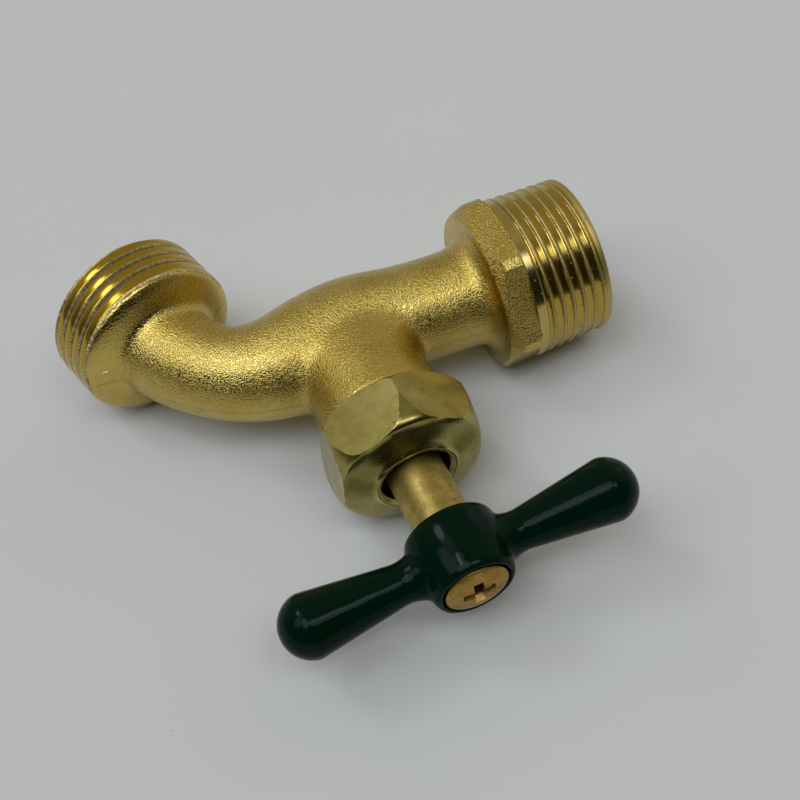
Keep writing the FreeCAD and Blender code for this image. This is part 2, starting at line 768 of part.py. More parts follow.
# handle_screw: pan head in the hub's recess
screw = new_body("handle_screw", True)
head_top = hub_floor + handle_head_height
turned(screw, "ScrewTurned", [
    (0.0, drive_top - handle_screw_length + 0.5),
    (handle_screw_radius, drive_top - handle_screw_length + 0.5),
    (handle_screw_radius, hub_floor),
    (handle_head_radius, hub_floor),
    (handle_head_radius, head_top),
    (0.3, head_top + handle_head_crown),
    (0.0, head_top + handle_head_crown),
], {4: (handle_head_dome, 1)})

doc.recompute()

failed = []
pieces = [item for item in doc.Objects if item.TypeId == "PartDesign::Body"]
for item in doc.Objects:
    if "Invalid" in item.State or "Error" in item.State:
        failed.append(item.Name)
for piece in pieces:
    shape = piece.Shape
    if shape.isNull() or not shape.isValid() or len(shape.Solids) != 1:
        failed.append(piece.Label + " shape")
        continue
    shape.exportStep(os.path.join("parts", piece.Label + ".step"))
    box = shape.BoundBox
    print("%-20s volume %9.2f  x %7.2f %7.2f  y %7.2f %7.2f  z %7.2f %7.2f" % (
        piece.Label, shape.Volume, box.XMin, box.XMax, box.YMin, box.YMax, box.ZMin, box.ZMax))
if failed:
    raise RuntimeError("not built: " + ", ".join(failed))
print("pieces", len(pieces))
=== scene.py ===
# %% [markdown]
# # A garden tap, dressed for its picture
#
# The measured model of the tap comes from the CAD step. Blender adds what a hand feels and an eye
# sees: cut threads, the soft skin of a sand-blasted casting, thick enamel and worn brass.
# Everything stays in the same frame as the measured model, in metres, so nothing has to be fitted.

# %% Load the measured model
import bpy
import json
import math
import random
from mathutils import Matrix, Vector


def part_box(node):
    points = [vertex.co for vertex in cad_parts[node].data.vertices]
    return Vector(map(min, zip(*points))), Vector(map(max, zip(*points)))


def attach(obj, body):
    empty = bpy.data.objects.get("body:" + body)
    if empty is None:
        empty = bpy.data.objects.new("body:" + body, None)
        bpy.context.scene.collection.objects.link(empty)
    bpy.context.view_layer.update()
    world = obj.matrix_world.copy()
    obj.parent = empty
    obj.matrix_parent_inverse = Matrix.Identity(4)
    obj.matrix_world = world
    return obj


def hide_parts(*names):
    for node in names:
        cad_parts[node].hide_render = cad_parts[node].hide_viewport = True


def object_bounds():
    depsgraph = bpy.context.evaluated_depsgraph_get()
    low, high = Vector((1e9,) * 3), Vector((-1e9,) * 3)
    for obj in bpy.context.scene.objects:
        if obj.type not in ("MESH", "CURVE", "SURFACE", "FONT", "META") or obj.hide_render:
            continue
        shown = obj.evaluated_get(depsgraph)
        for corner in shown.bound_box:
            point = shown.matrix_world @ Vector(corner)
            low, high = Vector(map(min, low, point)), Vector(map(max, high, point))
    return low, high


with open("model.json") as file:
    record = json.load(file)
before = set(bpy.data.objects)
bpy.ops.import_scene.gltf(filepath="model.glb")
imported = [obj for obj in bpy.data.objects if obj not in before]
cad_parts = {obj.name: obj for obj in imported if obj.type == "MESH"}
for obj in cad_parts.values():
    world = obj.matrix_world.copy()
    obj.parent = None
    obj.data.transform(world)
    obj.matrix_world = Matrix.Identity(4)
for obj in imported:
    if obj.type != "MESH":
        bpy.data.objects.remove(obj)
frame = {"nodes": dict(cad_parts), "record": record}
cad_low, cad_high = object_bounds()
bpy.ops.object.select_all(action="DESELECT")
bpy.context.scene.view_settings.view_transform = "Standard"
print("measured box in mm", [round(1000 * side, 1) for side in (cad_high - cad_low)])

# %% [markdown]
# ## Lengths and places
#
# Every length below is written in millimetres, as on a drawing, and MM turns it into metres.
# The tap's own axes are the inlet's along X, the stem's towards -Y and the leaning outlet's.
# The record of the measured model holds the outlet's lean, so that is read from there. A
# shoulder is the place where a thread ends: at the hexagon, and at the outlet's collar.

# %% Main places
MM = 0.001
PIPE_LENGTH = 12.9
HOSE_LENGTH = 9.4
STEM_X = -40.7
mounts = {mount["name"]: mount for mount in frame["record"]["mounts"]}
inlet_axis = Vector((1.0, 0.0, 0.0))
inlet_shoulder = Vector((-PIPE_LENGTH, 0.0, 0.0)) * MM
stem_axis = Vector((0.0, -1.0, 0.0))
stem_base = Vector((STEM_X, 0.0, 0.0)) * MM
outlet_axis = Vector(mounts["outlet_face"]["axis"]).normalized()
outlet_shoulder = Vector((-67.5, 14.1, 0.0)) * MM
print("outlet leans", round(math.degrees(math.atan2(-outlet_axis.x, outlet_axis.y)), 2), "degrees")

# %% [markdown]
# ## The casting
#
# The body is cast in a sand or steel mould and blasted with fine grit, so its edges are soft and
# its faces run into each other. The measured casting is copied, cut off where the threads start,
# and poured again as one skin with the Remesh modifier, which rounds every edge a little. A
# modifier is applied at once, so that the piece holds the finished mesh.

# %% Handling a piece
def choose(piece):
    bpy.ops.object.select_all(action="DESELECT")
    piece.select_set(True)
    bpy.context.view_layer.objects.active = piece


def clean_mesh():
    """In edit mode: one skin, no doubles, faces out."""
    bpy.ops.mesh.select_all(action="SELECT")
    bpy.ops.mesh.remove_doubles(threshold=0.002 * MM)
    bpy.ops.mesh.normals_make_consistent(inside=False)


def copy_of(node, name):
    """A merged copy of a measured solid, free of its tie to the measured model."""
    piece = bpy.data.objects.new(name, frame["nodes"][node].data.copy())
    bpy.context.scene.collection.objects.link(piece)
    piece.data.materials.clear()
    choose(piece)
    bpy.ops.object.mode_set(mode="EDIT")
    clean_mesh()
    bpy.ops.object.mode_set(mode="OBJECT")
    return piece


def place(piece, spot, direction):
    """Set the piece's Z axis along direction at spot, and fold that place into its mesh."""
    choose(piece)
    facing = direction.to_track_quat("Z", "Y").to_matrix().to_4x4()
    piece.matrix_world = Matrix.Translation(spot) @ facing
    bpy.ops.object.transform_apply(location=True, rotation=True, scale=True)


def use_modifier(piece, kind, **settings):
    choose(piece)
    modifier = piece.modifiers.new(kind.title(), kind)
    for setting, value in settings.items():
        setattr(modifier, setting, value)
    bpy.ops.object.modifier_apply(modifier=modifier.name)


def subtract(piece, cutter, operation="DIFFERENCE"):
    use_modifier(piece, "BOOLEAN", operation=operation, solver="EXACT", object=cutter)
    bpy.data.objects.remove(cutter)


# %% Pour the casting
CASTING_GRID = 0.37


def plug(spot, direction, radius, length):
    """A round cutter that starts at spot."""
    middle = spot + direction * length * 0.5 * MM
    bpy.ops.mesh.primitive_cylinder_add(vertices=96, radius=radius * MM, depth=length * MM)
    cutter = bpy.context.object
    place(cutter, middle, direction)
    return cutter


casting = copy_of("body_casting", "casting")
inside_hexagon = inlet_shoulder - inlet_axis * 4.4 * MM
thread_start = outlet_shoulder + outlet_axis * 0.05 * MM
subtract(casting, plug(inside_hexagon, inlet_axis, radius=16.0, length=20.0))
subtract(casting, plug(thread_start, outlet_axis, radius=14.2, length=12.0))
use_modifier(casting, "REMESH", mode="VOXEL", voxel_size=CASTING_GRID * MM)
print("poured with", len(casting.data.polygons), "faces")

# %% [markdown]
# In the mould, the root of the neck melts into the barrel with a large fillet, and the collar's
# rim is only broken. The Smooth modifier does both. A vertex group tells it how much of each
# vertex may move, so the neck's root gets many rounds, the rim a few and the rest next to none.

# %% Melt the corners
def between(value, low, high, edge):
    """1 between low and high, falling to 0 over edge outside them."""
    return max(0.0, min((value - low) / edge, (high - value) / edge, 0.0) + 1.0)


root = casting.vertex_groups.new(name="neck_root")
rim = casting.vertex_groups.new(name="collar_rim")
for vertex in casting.data.vertices:
    spot = vertex.co / MM
    aside = math.hypot(spot.x - STEM_X, spot.z)
    root_share = between(spot.y, -8.0, -1.0, 2.5) * between(aside, 8.5, 18.0, 3.0)
    root.add([vertex.index], root_share, "REPLACE")
    along_outlet = (vertex.co - outlet_shoulder).dot(outlet_axis) / MM
    rim.add([vertex.index], between(along_outlet, -0.7, 1.0, 0.6), "REPLACE")
use_modifier(casting, "SMOOTH", factor=0.5, iterations=90, vertex_group="neck_root")
use_modifier(casting, "SMOOTH", factor=0.5, iterations=12, vertex_group="collar_rim")
use_modifier(casting, "SMOOTH", factor=0.5, iterations=2)
print("melted", len(casting.data.vertices), "vertices")

# %% [markdown]
# On the real tap the collar ends flush with the crests of the hose thread. The measured collar
# stands lower, because there the thread is a plain cylinder, so its rim is swelled here. The
# swelling starts softly behind the shoulder and fades towards the bore, which stays as it is.

# %% Swell the collar
SWELL = 1.08
SWELL_START = -3.2
SWELL_RUN = 2.8
SWELL_REACH = 3.4
SWELL_INNER = 9.2
SWELL_OUTER = 13.0
SWELL_FADE = 1.5


def smooth_shade(piece, degrees):
    choose(piece)
    bpy.ops.object.shade_smooth_by_angle(angle=math.radians(degrees))


swelled = 0
for vertex in casting.data.vertices:
    along_outlet = (vertex.co - outlet_shoulder).dot(outlet_axis)
    middle = outlet_shoulder + outlet_axis * along_outlet
    from_axis = vertex.co - middle
    beside = SWELL_INNER * MM < from_axis.length < SWELL_OUTER * MM
    if abs(along_outlet) > SWELL_REACH * MM or not beside:
        continue
    swell = min(max(along_outlet / MM - SWELL_START, 0.0) / SWELL_RUN, 1.0)
    swell = SWELL * swell * swell * (3.0 - 2.0 * swell)
    share = min((from_axis.length / MM - SWELL_INNER) / SWELL_FADE, 1.0)
    vertex.co = middle + from_axis * (1.0 + swell * share * MM / from_axis.length)
    swelled += 1
smooth_shade(casting, 60.0)
print("swelled", swelled, "vertices of the collar")

# %% [markdown]
# ## The hexagon
#
# The hexagon at the inlet takes the wrench, so its edges have to stay straight. It is turned on a
# lathe as a ring with a coned back, intersected with a hexagonal bar, and its edges are broken by
# a bevel. The Spin tool is Blender's lathe: half an outline is drawn with one vertex that is
# extruded on and on, and spun round the axis. The seam and the poles are then merged.

# %% A lathe
def lathe(name, outline, steps, closed=True):
    """Turn an outline of (height, radius) in millimetres round the local Z axis."""
    bpy.ops.mesh.primitive_plane_add(size=MM)
    piece = bpy.context.object
    piece.name = name
    bpy.ops.object.mode_set(mode="EDIT")
    bpy.ops.mesh.merge(type="CENTER")
    spots = [Vector((radius, 0.0, height)) * MM for height, radius in outline]
    if closed:
        spots.append(spots[0])
    bpy.ops.transform.translate(value=spots[0])
    for here, there in zip(spots, spots[1:]):
        bpy.ops.mesh.extrude_vertices_move(TRANSFORM_OT_translate={"value": there - here})
    bpy.ops.mesh.select_all(action="SELECT")
    bpy.ops.mesh.spin(steps=steps, angle=math.tau, center=(0, 0, 0), axis=(0, 0, 1))
    clean_mesh()
    bpy.ops.object.mode_set(mode="OBJECT")
    print(name, "turned with", len(piece.data.polygons), "faces")
    return piece


# %% Turn the hexagon
HEX_THICK = 4.83
HEX_CORNER = 14.24
PIPE_BORE = 9.6


def hexagonal(piece, flats, middle, length, turn):
    """Keep of a turned piece what fits in a hexagonal bar."""
    corner = flats / math.sqrt(3.0) * MM
    bpy.ops.mesh.primitive_cylinder_add(vertices=6, radius=corner, depth=length * MM)
    bar = bpy.context.object
    bar.location = (0.0, 0.0, middle * MM)
    bar.rotation_euler = (0.0, 0.0, math.radians(turn))
    subtract(piece, bar, "INTERSECT")


def break_edges(piece, width, sharper_than):
    """Bevel the edges sharper than an angle, and keep the flats flat in the shading."""
    use_modifier(piece, "BEVEL", width=width * MM, segments=3, limit_method="ANGLE",
                 angle_limit=math.radians(sharper_than))
    smooth_shade(piece, 32.0)
    use_modifier(piece, "WEIGHTED_NORMAL", keep_sharp=True)


outline = [(-HEX_THICK, 6.65), (-HEX_THICK, 12.5), (-4.0, 13.4), (-3.2, HEX_CORNER)]
outline += [(-0.45, HEX_CORNER), (0.0, 13.9), (0.0, 9.62), (-1.1, PIPE_BORE)]
hexagon = lathe("inlet_hexagon", outline, steps=120)
hexagonal(hexagon, flats=25.4, middle=-2.4, length=8.0, turn=30.0)
place(hexagon, inlet_shoulder, inlet_axis)
break_edges(hexagon, width=0.25, sharper_than=25.0)
print("hexagon box", [round(value / MM, 1) for value in hexagon.dimensions])

# %% [markdown]
# ## Threads
#
# A die cuts the two outside threads. It leaves broad crests between narrow grooves on the hose
# end, and narrow crests between broad flat floors on the pipe end. Each threaded end is turned as
# a ring with many fine rows, and its outer rows are then pressed in along a helix. That keeps one
# clean skin, where a wound profile would need its ends trimmed. Every vertex remembers how deep
# it was pressed, so that the finish can tell crest from floor.

# %% A die
def cut_thread(piece, pitch, depth, flat, groove, phase, blank, crest, rough, seed):
    """Press a right-hand groove into the turned ring, before the ring is put in its place.

    flat and groove are the shares of the pitch taken by the groove's floor and by its mouth,
    and phase is the share by which the groove starts later. Vertices nearer to the axis than
    blank aren't touched, and rough waves the groove's walls."""
    chance = random.Random(seed)
    waves = [(chance.uniform(0, math.tau), chance.randint(5, 130)) for _ in range(18)]
    mark = piece.data.attributes.new("depth", "FLOAT", "POINT")
    deepest = 0.0
    for vertex in piece.data.vertices:
        spot = vertex.co / MM
        radius = math.hypot(spot.x, spot.y)
        if radius < blank:
            continue
        angle = math.atan2(spot.y, spot.x)
        turns = (spot.z / pitch - angle / math.tau + phase) % 1.0
        across = abs(turns - 0.5) * 2.0
        share = min(max((across - flat) / (groove - flat), 0.0), 1.0)
        crown = 0.04 * (1.0 - min(max((across - groove) / (1.0 - groove), 0.0), 1.0)) ** 2
        wave = sum(math.sin(count * angle + start + turns) for start, count in waves) / 4.0
        floor = crest(spot.z) - crown - depth * (1.0 - share)
        floor += rough * wave * (1.0 - abs(2 * share - 1))
        new_radius = min(radius, floor)
        vertex.co.x *= new_radius / radius
        vertex.co.y *= new_radius / radius
        mark.data[vertex.index].value = max(0.0, radius - new_radius)
        deepest = max(deepest, radius - new_radius)
    print(piece.name, "is cut", round(deepest, 2), "mm deep")


# %% [markdown]
# The hose thread is straight, with 11.5 turns to the inch. Its blank starts as a shallow cone at
# the shoulder and ends in a chamfer, and the die lifts out of the metal near the shoulder.

# %% The hose thread
HOSE_PITCH = 25.4 / 11.5
HOSE_CREST = 13.48
HOSE_BORE = 8.6
HOSE_CHAMFER = 0.7
DIE_LIFT = 2.0


def rows(start, stop, radius_at, step):
    """Evenly spaced points of an outline, close enough to take the groove."""
    count = max(1, round(abs(stop - start) / step))
    heights = [start + (stop - start) * i / count for i in range(count + 1)]
    return [(height, radius_at(height)) for height in heights]


def hose_radius(height):
    """A shallow cone that starts at the shoulder, the blank, and the end chamfer."""
    lead = 13.3 + (height + 0.1) * 0.4
    chamfer = HOSE_CREST - max(0.0, height - (HOSE_LENGTH - HOSE_CHAMFER))
    return min(lead, HOSE_CREST, chamfer)


def hose_crest(height):
    """The die's crests, and where it lifts out at the shoulder."""
    return HOSE_CREST + DIE_LIFT * max(0.0, 1.2 - height)


outline = [(-0.7, 8.9), (-0.7, 12.5), (-0.3, 12.9)]
outline += rows(-0.1, HOSE_LENGTH, hose_radius, 0.1)
outline += [(HOSE_LENGTH, radius) for radius in (11.4, 10.2, 9.2)]
outline += [(height, HOSE_BORE) for height in (HOSE_LENGTH - 0.4, 6.0, 3.0, 0.1)]
hose_thread = lathe("hose_thread", outline, steps=560)
cut_thread(hose_thread, HOSE_PITCH, depth=0.45, flat=0.08, groove=0.44, phase=0.7,
           blank=11.95, crest=hose_crest, rough=0.08, seed=3)

# %% [markdown]
# Where the die stopped, it left a torn burr round the collar. The vertices of that narrow ring
# are pushed back by many small teeth of uneven length, most of them short.

# %% Tear the burr
TEETH = 370
LONGEST_TOOTH = 0.32
BURR_TOP = 0.35
BURR_WIDTH = 0.45
BURR_INNER = 12.7
chance = random.Random(8)
teeth = [chance.random() ** 2 * LONGEST_TOOTH for _ in range(TEETH)]
for vertex in hose_thread.data.vertices:
    spot = vertex.co / MM
    if spot.z < BURR_TOP and math.hypot(spot.x, spot.y) > BURR_INNER:
        angle = math.atan2(spot.y, spot.x) / math.tau % 1.0
        tooth = teeth[int(angle * TEETH) % TEETH]
        vertex.co.z -= tooth * (BURR_TOP - spot.z) / BURR_WIDTH * MM
place(hose_thread, outlet_shoulder, outlet_axis)
smooth_shade(hose_thread, 70.0)
print("the burr has", TEETH, "teeth, the longest", round(max(teeth), 2), "mm")

# %% [markdown]
# The pipe thread has 14 turns to the inch and grows towards the hexagon, so that it wedges tight.
# It is made as the hose thread is, on a slightly coned blank.

# %% The pipe thread
PIPE_PITCH = 25.4 / 14
PIPE_CREST = 13.3
PIPE_TAPER = 0.045


def pipe_radius(height):
    """Height counts from the hexagon to the end face, where the crests are lowest."""
    crest = PIPE_CREST - PIPE_TAPER * height
    chamfer = 13.335 - (height - 11.7) * 0.6
    return min(crest, chamfer)


def pipe_crest(height):
    """The die's crests, with a plain ring at the hexagon and at the end."""
    lift = max(0.0, 1.7 - height, height - 11.9)
    return PIPE_CREST - PIPE_TAPER * height + DIE_LIFT * lift


outline = [(-0.4, 9.9), (-0.4, 12.3), (-0.02, 12.3)]
outline += rows(0.0, PIPE_LENGTH, pipe_radius, 0.11)
outline += [(PIPE_LENGTH, 11.2), (PIPE_LENGTH, 10.1)]
outline += [(height, PIPE_BORE) for height in (12.4, 8.0, 4.0, 0.1)]
pipe_thread = lathe("pipe_thread", outline, steps=480)
cut_thread(pipe_thread, PIPE_PITCH, depth=0.3, flat=0.58, groove=0.84, phase=0.0,
           blank=11.8, crest=pipe_crest, rough=0.04, seed=5)
place(pipe_thread, inlet_shoulder, inlet_axis)
smooth_shade(pipe_thread, 70.0)

# %% [markdown]
# ## The packing nut
#
# The nut is turned from hexagon bar: the lathe cuts the cone, the raised lip round the hole and
# the rounded shoulders, and the bar's flats stay. Turned blank and hexagon bar are made apart and
# intersected, which gives the arcs where the cone meets each flat, as on the real nut. A small
# bevel breaks the edges, because no real edge is perfectly sharp and an edge shows by its glint.
# The bevel's narrow faces are marked, so that the finish can paint them pale, a painted highlight
# along the edges. One fault is left: the outline of the hole's wall runs 0.9 mm past the roof and
# back, which leaves a doubled skin there, out of sight inside the nut.

# %% Turn the nut
NUT_BACK = 17.0
NUT_FRONT = 28.4
NUT_ROOF = 26.3
NUT_BORE = 9.02
NUT_HOLE = 5.5
BEVEL_FACE = 0.07
from_back = [(0.0, NUT_BORE), (0.0, 10.45), (0.25, 10.95), (0.8, 11.7), (1.6, 12.4)]
from_back += [(2.3, 12.72), (4.4, 12.72), (5.6, 12.52), (6.8, 12.24)]
from_front = [(3.4, 11.98), (2.5, 11.68), (2.0, 11.38), (1.7, 11.0), (1.42, 10.0), (1.17, 9.0)]
from_front += [(0.8, 8.0), (0.66, 7.45), (0.52, 6.95), (0.06, 6.6), (0.0, 6.5), (0.0, 6.05)]
from_front += [(0.06, 5.92), (0.5, NUT_HOLE), (3.0, NUT_HOLE)]
outline = [(NUT_BACK + height, radius) for height, radius in from_back]
outline += [(NUT_FRONT - height, radius) for height, radius in from_front]
outline += [(NUT_ROOF, NUT_HOLE), (NUT_ROOF, NUT_BORE)]
nut = lathe("packing_nut", outline, steps=180)
hexagonal(nut, flats=22.0, middle=22.7, length=14.0, turn=-3.5)
place(nut, stem_base, stem_axis)
break_edges(nut, width=0.3, sharper_than=24.0)
# The bevel's small faces are marked for a painted highlight along the edges.
mark = nut.data.attributes.new("painted_glint_edge", "FLOAT", "FACE")
for face in nut.data.polygons:
    mark.data[face.index].value = 1.0 if face.area < BEVEL_FACE * MM * MM else 0.0
print("nut box", [round(value / MM, 1) for value in nut.dimensions])

# %% [markdown]
# ## The handle
#
# The tee handle is a die casting dipped in thick enamel, which fills every corner. The measured
# handle is copied, poured again at a fine grid and smoothed, so that bar and hub melt together.

# %% Dip the handle
HANDLE_GRID = 0.3
handle = copy_of("tee_handle", "enamelled_handle")
use_modifier(handle, "REMESH", mode="VOXEL", voxel_size=HANDLE_GRID * MM)
use_modifier(handle, "SMOOTH", factor=0.5, iterations=8)
smooth_shade(handle, 80.0)
hub_low, hub_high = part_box("tee_handle")
print("handle poured with", len(handle.data.polygons), "faces")
print("handle box", [round(value / MM, 1) for value in (hub_high - hub_low)])

# %% [markdown]
# ## The screw
#
# The screw that holds the handle has a domed head with a cross for the driver. Shank, head and
# dome are turned in one, to the measured screw's own ends. A tapered arm, turned by a quarter for
# the second cut, presses the cross into the head.

# %% Turn the screw
DOME = 0.8
HEAD_HEIGHT = 1.55
HEAD_RADIUS = 4.82
screw_low, screw_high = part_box("handle_screw")
head_top = -screw_low.y / MM
shank_end = -screw_high.y / MM
seat = head_top - DOME - HEAD_HEIGHT
outline = [(shank_end, 0.0), (shank_end, 1.6), (shank_end + 0.5, 1.95), (seat, 1.95), (seat, 4.6)]
outline += [(seat + 0.2, 4.8), (seat + 1.35, HEAD_RADIUS), (seat + 1.52, 4.72)]
for share in (0.93, 0.85, 0.75, 0.62, 0.48, 0.34, 0.2, 0.1, 0.0):
    outline.append((head_top - DOME * share * share, HEAD_RADIUS * share))
screw = lathe("handle_screw_head", outline, steps=96, closed=False)

# %% Press the cross
CROSS_LENGTH = 6.0
CROSS_WIDTH = 1.7
CROSS_DEPTH = 2.4
CROSS_TURN = 3.3


def cross_arm(turn):
    """One arm of the driver's cross, narrower at its foot, that stands 1 mm above the head."""
    bpy.ops.mesh.primitive_cube_add(size=1.0)
    arm = bpy.context.object
    bpy.ops.object.mode_set(mode="EDIT")
    sides = (CROSS_LENGTH * MM, CROSS_WIDTH * MM, (CROSS_DEPTH + 1.0) * MM)
    bpy.ops.transform.resize(value=sides)
    bpy.ops.object.mode_set(mode="OBJECT")
    for vertex in arm.data.vertices:
        if vertex.co.z < 0.0:
            vertex.co.x *= 0.5
            vertex.co.y *= 0.7
    arm.location = (0.0, 0.0, (head_top + (1.0 - CROSS_DEPTH) * 0.5) * MM)
    arm.rotation_euler = (0.0, 0.0, math.radians(turn))
    return arm


subtract(screw, cross_arm(CROSS_TURN))
subtract(screw, cross_arm(CROSS_TURN + 90.0))
place(screw, stem_base, stem_axis)
smooth_shade(screw, 30.0)
print("the screw has", len(screw.data.polygons), "faces")

# %% [markdown]
# ## Finishes as plain sums
#
# A material is a web of nodes. Writing it as sums keeps it readable: a Wire is one value of the
# web, and adding or multiplying wires adds the Math nodes. A Finish is one material, and its
# node method makes any other node. Patterns read the piece's own place in millimetres.

# %% A wire
class Wire:
    """A value in a finish, so that sums on it can be written as plain Python."""

    def __init__(self, finish, socket):
        self.finish = finish
        self.socket = socket

    def maths(self, operation, other=0.0):
        """One Math node, with this value first and the other second."""
        return self.finish.node("ShaderNodeMath", {"operation": operation}, {0: self, 1: other})

    def __add__(self, other):
        return self.maths("ADD", other)

    def __radd__(self, other):
        return self.maths("ADD", other)

    def __sub__(self, other):
        return self.maths("SUBTRACT", other)

    def __rsub__(self, other):
        return self.maths("MULTIPLY", -1.0).maths("ADD", other)

    def __mul__(self, other):
        return self.maths("MULTIPLY", other)

    def __rmul__(self, other):
        return self.maths("MULTIPLY", other)

    def rise(self, low, high):
        """0 below low, 1 above high, soft between."""
        settings = {"interpolation_type": "SMOOTHSTEP"}
        values = {"Value": self, "From Min": low, "From Max": high}
        return self.finish.node("ShaderNodeMapRange", settings, values)


# %% A finish
class Finish:
    """One material, or the world's light, being wired."""

    def __init__(self, name, holder=None):
        self.holder = holder or bpy.data.materials.new(name)
        self.holder.name = name
        self.holder.use_nodes = True
        self.tree = self.holder.node_tree
        ends = [node for node in self.tree.nodes if node.type in ("BSDF_PRINCIPLED", "BACKGROUND")]
        self.surface = ends[0]

    def feed(self, socket, value):
        if isinstance(value, Wire):
            self.tree.links.new(value.socket, socket)
        else:
            socket.default_value = value

    def node(self, kind, settings, inputs, output=0):
        made = self.tree.nodes.new(kind)
        for setting, value in settings.items():
            setattr(made, setting, value)
        for name, value in inputs.items():
            self.feed(made.inputs[name], value)
        return Wire(self, made.outputs[output])

    def set(self, **values):
        """Feed the shader's own sockets, with _ for a space in their names."""
        for name, value in values.items():
            self.feed(self.surface.inputs[name.replace("_", " ")], value)

    def spot(self, origin=(0.0, 0.0, 0.0)):
        """The place on the piece in millimetres, counted from an origin in millimetres."""
        where = self.node("ShaderNodeTexCoord", {}, {}, "Object")
        shift = tuple(-part for part in origin)
        inputs = {"Vector": where, "Location": shift, "Scale": (1000.0, 1000.0, 1000.0)}
        return self.node("ShaderNodeMapping", {"vector_type": "POINT"}, inputs)

    def vectors(self, operation, inputs, output="Vector"):
        """One Vector Math node."""
        settings = {"operation": operation}
        return self.node("ShaderNodeVectorMath", settings, dict(enumerate(inputs)), output)

    def along(self, where, direction):
        """How far a place lies along a direction."""
        return self.vectors("DOT_PRODUCT", [where, tuple(direction)], "Value")

    def noise(self, where, size, detail=2.0, roughness=0.5):
        """Blotches of about a size in millimetres."""
        inputs = {"Vector": where, "Scale": 1.0 / size, "Detail": detail, "Roughness": roughness}
        return self.node("ShaderNodeTexNoise", {}, inputs)

    def rings(self, distance, size, detail=2.0):
        """Marks that change along one distance only, as a lathe leaves them."""
        inputs = {"W": distance, "Scale": 1.0 / size, "Detail": detail}
        return self.node("ShaderNodeTexNoise", {"noise_dimensions": "1D"}, inputs)

    def mix(self, share, first, second):
        """The first colour at share 0, the second at share 1."""
        inputs = {0: share, 6: first, 7: second}
        return self.node("ShaderNodeMix", {"data_type": "RGBA"}, inputs, 2)

    def mark(self, name):
        """A value stored in the mesh."""
        return self.node("ShaderNodeAttribute", {"attribute_name": name}, {}, "Fac")

    def bump(self, height, depth):
        """Raise the surface by height times depth millimetres."""
        inputs = {"Height": height, "Distance": depth * MM, "Strength": 1.0}
        return self.node("ShaderNodeBump", {}, inputs)

    def tell(self):
        print(self.holder.name, "is a web of", len(self.tree.nodes), "nodes")


def paint(text):
    """A colour as it is written, such as c9a94f, in the linear light that shaders use."""
    parts = [int(text[i:i + 2], 16) / 255 for i in (0, 2, 4)]
    linear = [part / 12.92 if part < 0.04045 else ((part + 0.055) / 1.055) ** 2.4 for part in parts]
    return (*linear, 1.0)


# %% [markdown]
# ## Brass, in its several states
#
# All the metal is brass, and what sets the pieces apart is how each was finished. The casting was
# blasted with grit: a fine grain that sparkles, a few pits, a faint seam where the mould's halves
# met, and one small flash mark on the collar, a ridge whose pale colour is a painted highlight.
# The grain is calmer on the collar than elsewhere.

# %% The blasted casting
FLASH_START = (-79.05, 9.67, 2.59)
FLASH_WAY = (0.992, -0.117, -0.052)
cast = Finish("cast_brass")
where = cast.spot()
grain = cast.noise(where, 0.27, 2.0, 0.5).rise(0.3, 0.66)
coarse = cast.noise(where, 1.6, 2.0)
stain = cast.noise(where, 9.0, 3.0, 0.6).rise(0.4, 0.75)
pits = cast.noise(where, 0.6, 0.0).rise(0.88, 0.9)
seam = 1 - cast.along(where, (0.0, 0.0, 1.0)).maths("ABSOLUTE").rise(0.06, 0.26)
from_flash = cast.spot(FLASH_START)
off_flash = cast.vectors("CROSS_PRODUCT", [from_flash, FLASH_WAY])
off_flash = cast.vectors("LENGTH", [off_flash], "Value")
along_flash = cast.along(from_flash, FLASH_WAY)
flash_ridge_and_highlight = (1 - off_flash.rise(0.08, 0.26)) * along_flash.rise(0.3, 0.9)
flash_ridge_and_highlight = flash_ridge_and_highlight * (1 - along_flash.rise(2.4, 2.9))
colour = cast.mix(stain, paint("d6bd66"), paint("c8ac54"))
colour = cast.mix((1 - grain) * 0.16, colour, paint("8a7434"))
colour = cast.mix(pits, colour, paint("6a5220"))
# The flash is a real ridge in the bump below; its pale colour here is a painted highlight.
colour = cast.mix(flash_ridge_and_highlight, colour, paint("f0e0a0"))
cast.set(Base_Color=colour, Metallic=1.0, Roughness=0.15 + 0.06 * coarse + pits * 0.3)
from_collar = cast.along(cast.spot(tuple(outlet_shoulder / MM)), outlet_axis)
calm = 1 - from_collar.rise(-4.5, -1.5) * 0.5
cast.set(Normal=cast.bump(calm * grain + coarse * 0.5 + seam * 1.2 + flash_ridge_and_highlight * 4 - pits, 0.052))
cast.tell()

# %% [markdown]
# The die cuts the threads bright. On the hose end the crests stay smooth, and the walls, the
# floors and the burr are torn across in fine strips; the deepest floors get a painted shade,
# near black. On the pipe end it is the other way round: the floors are smooth and the crests
# carry the die's chatter.
# Both read the depth that the die left in the mesh.

# %% What both threads share
def thread_finish(name, origin, axis, aside):
    """Lathe lines, cross marks that follow the angle, and how deep each place was cut."""
    cut = Finish(name)
    where = cut.spot(origin)
    height = cut.along(where, axis)
    angle = cut.along(where, aside).maths("ARCTAN2", cut.along(where, (0.0, 0.0, 1.0)))
    marks = cut.rings(angle * PIPE_CREST, 0.22, 1.0)
    lines = cut.rings(height, 0.09, 2.0)
    nicks = cut.noise(where, 0.6, 2.0, 0.7).rise(0.68, 0.74)
    return cut, height, marks, lines, nicks, cut.mark("depth")


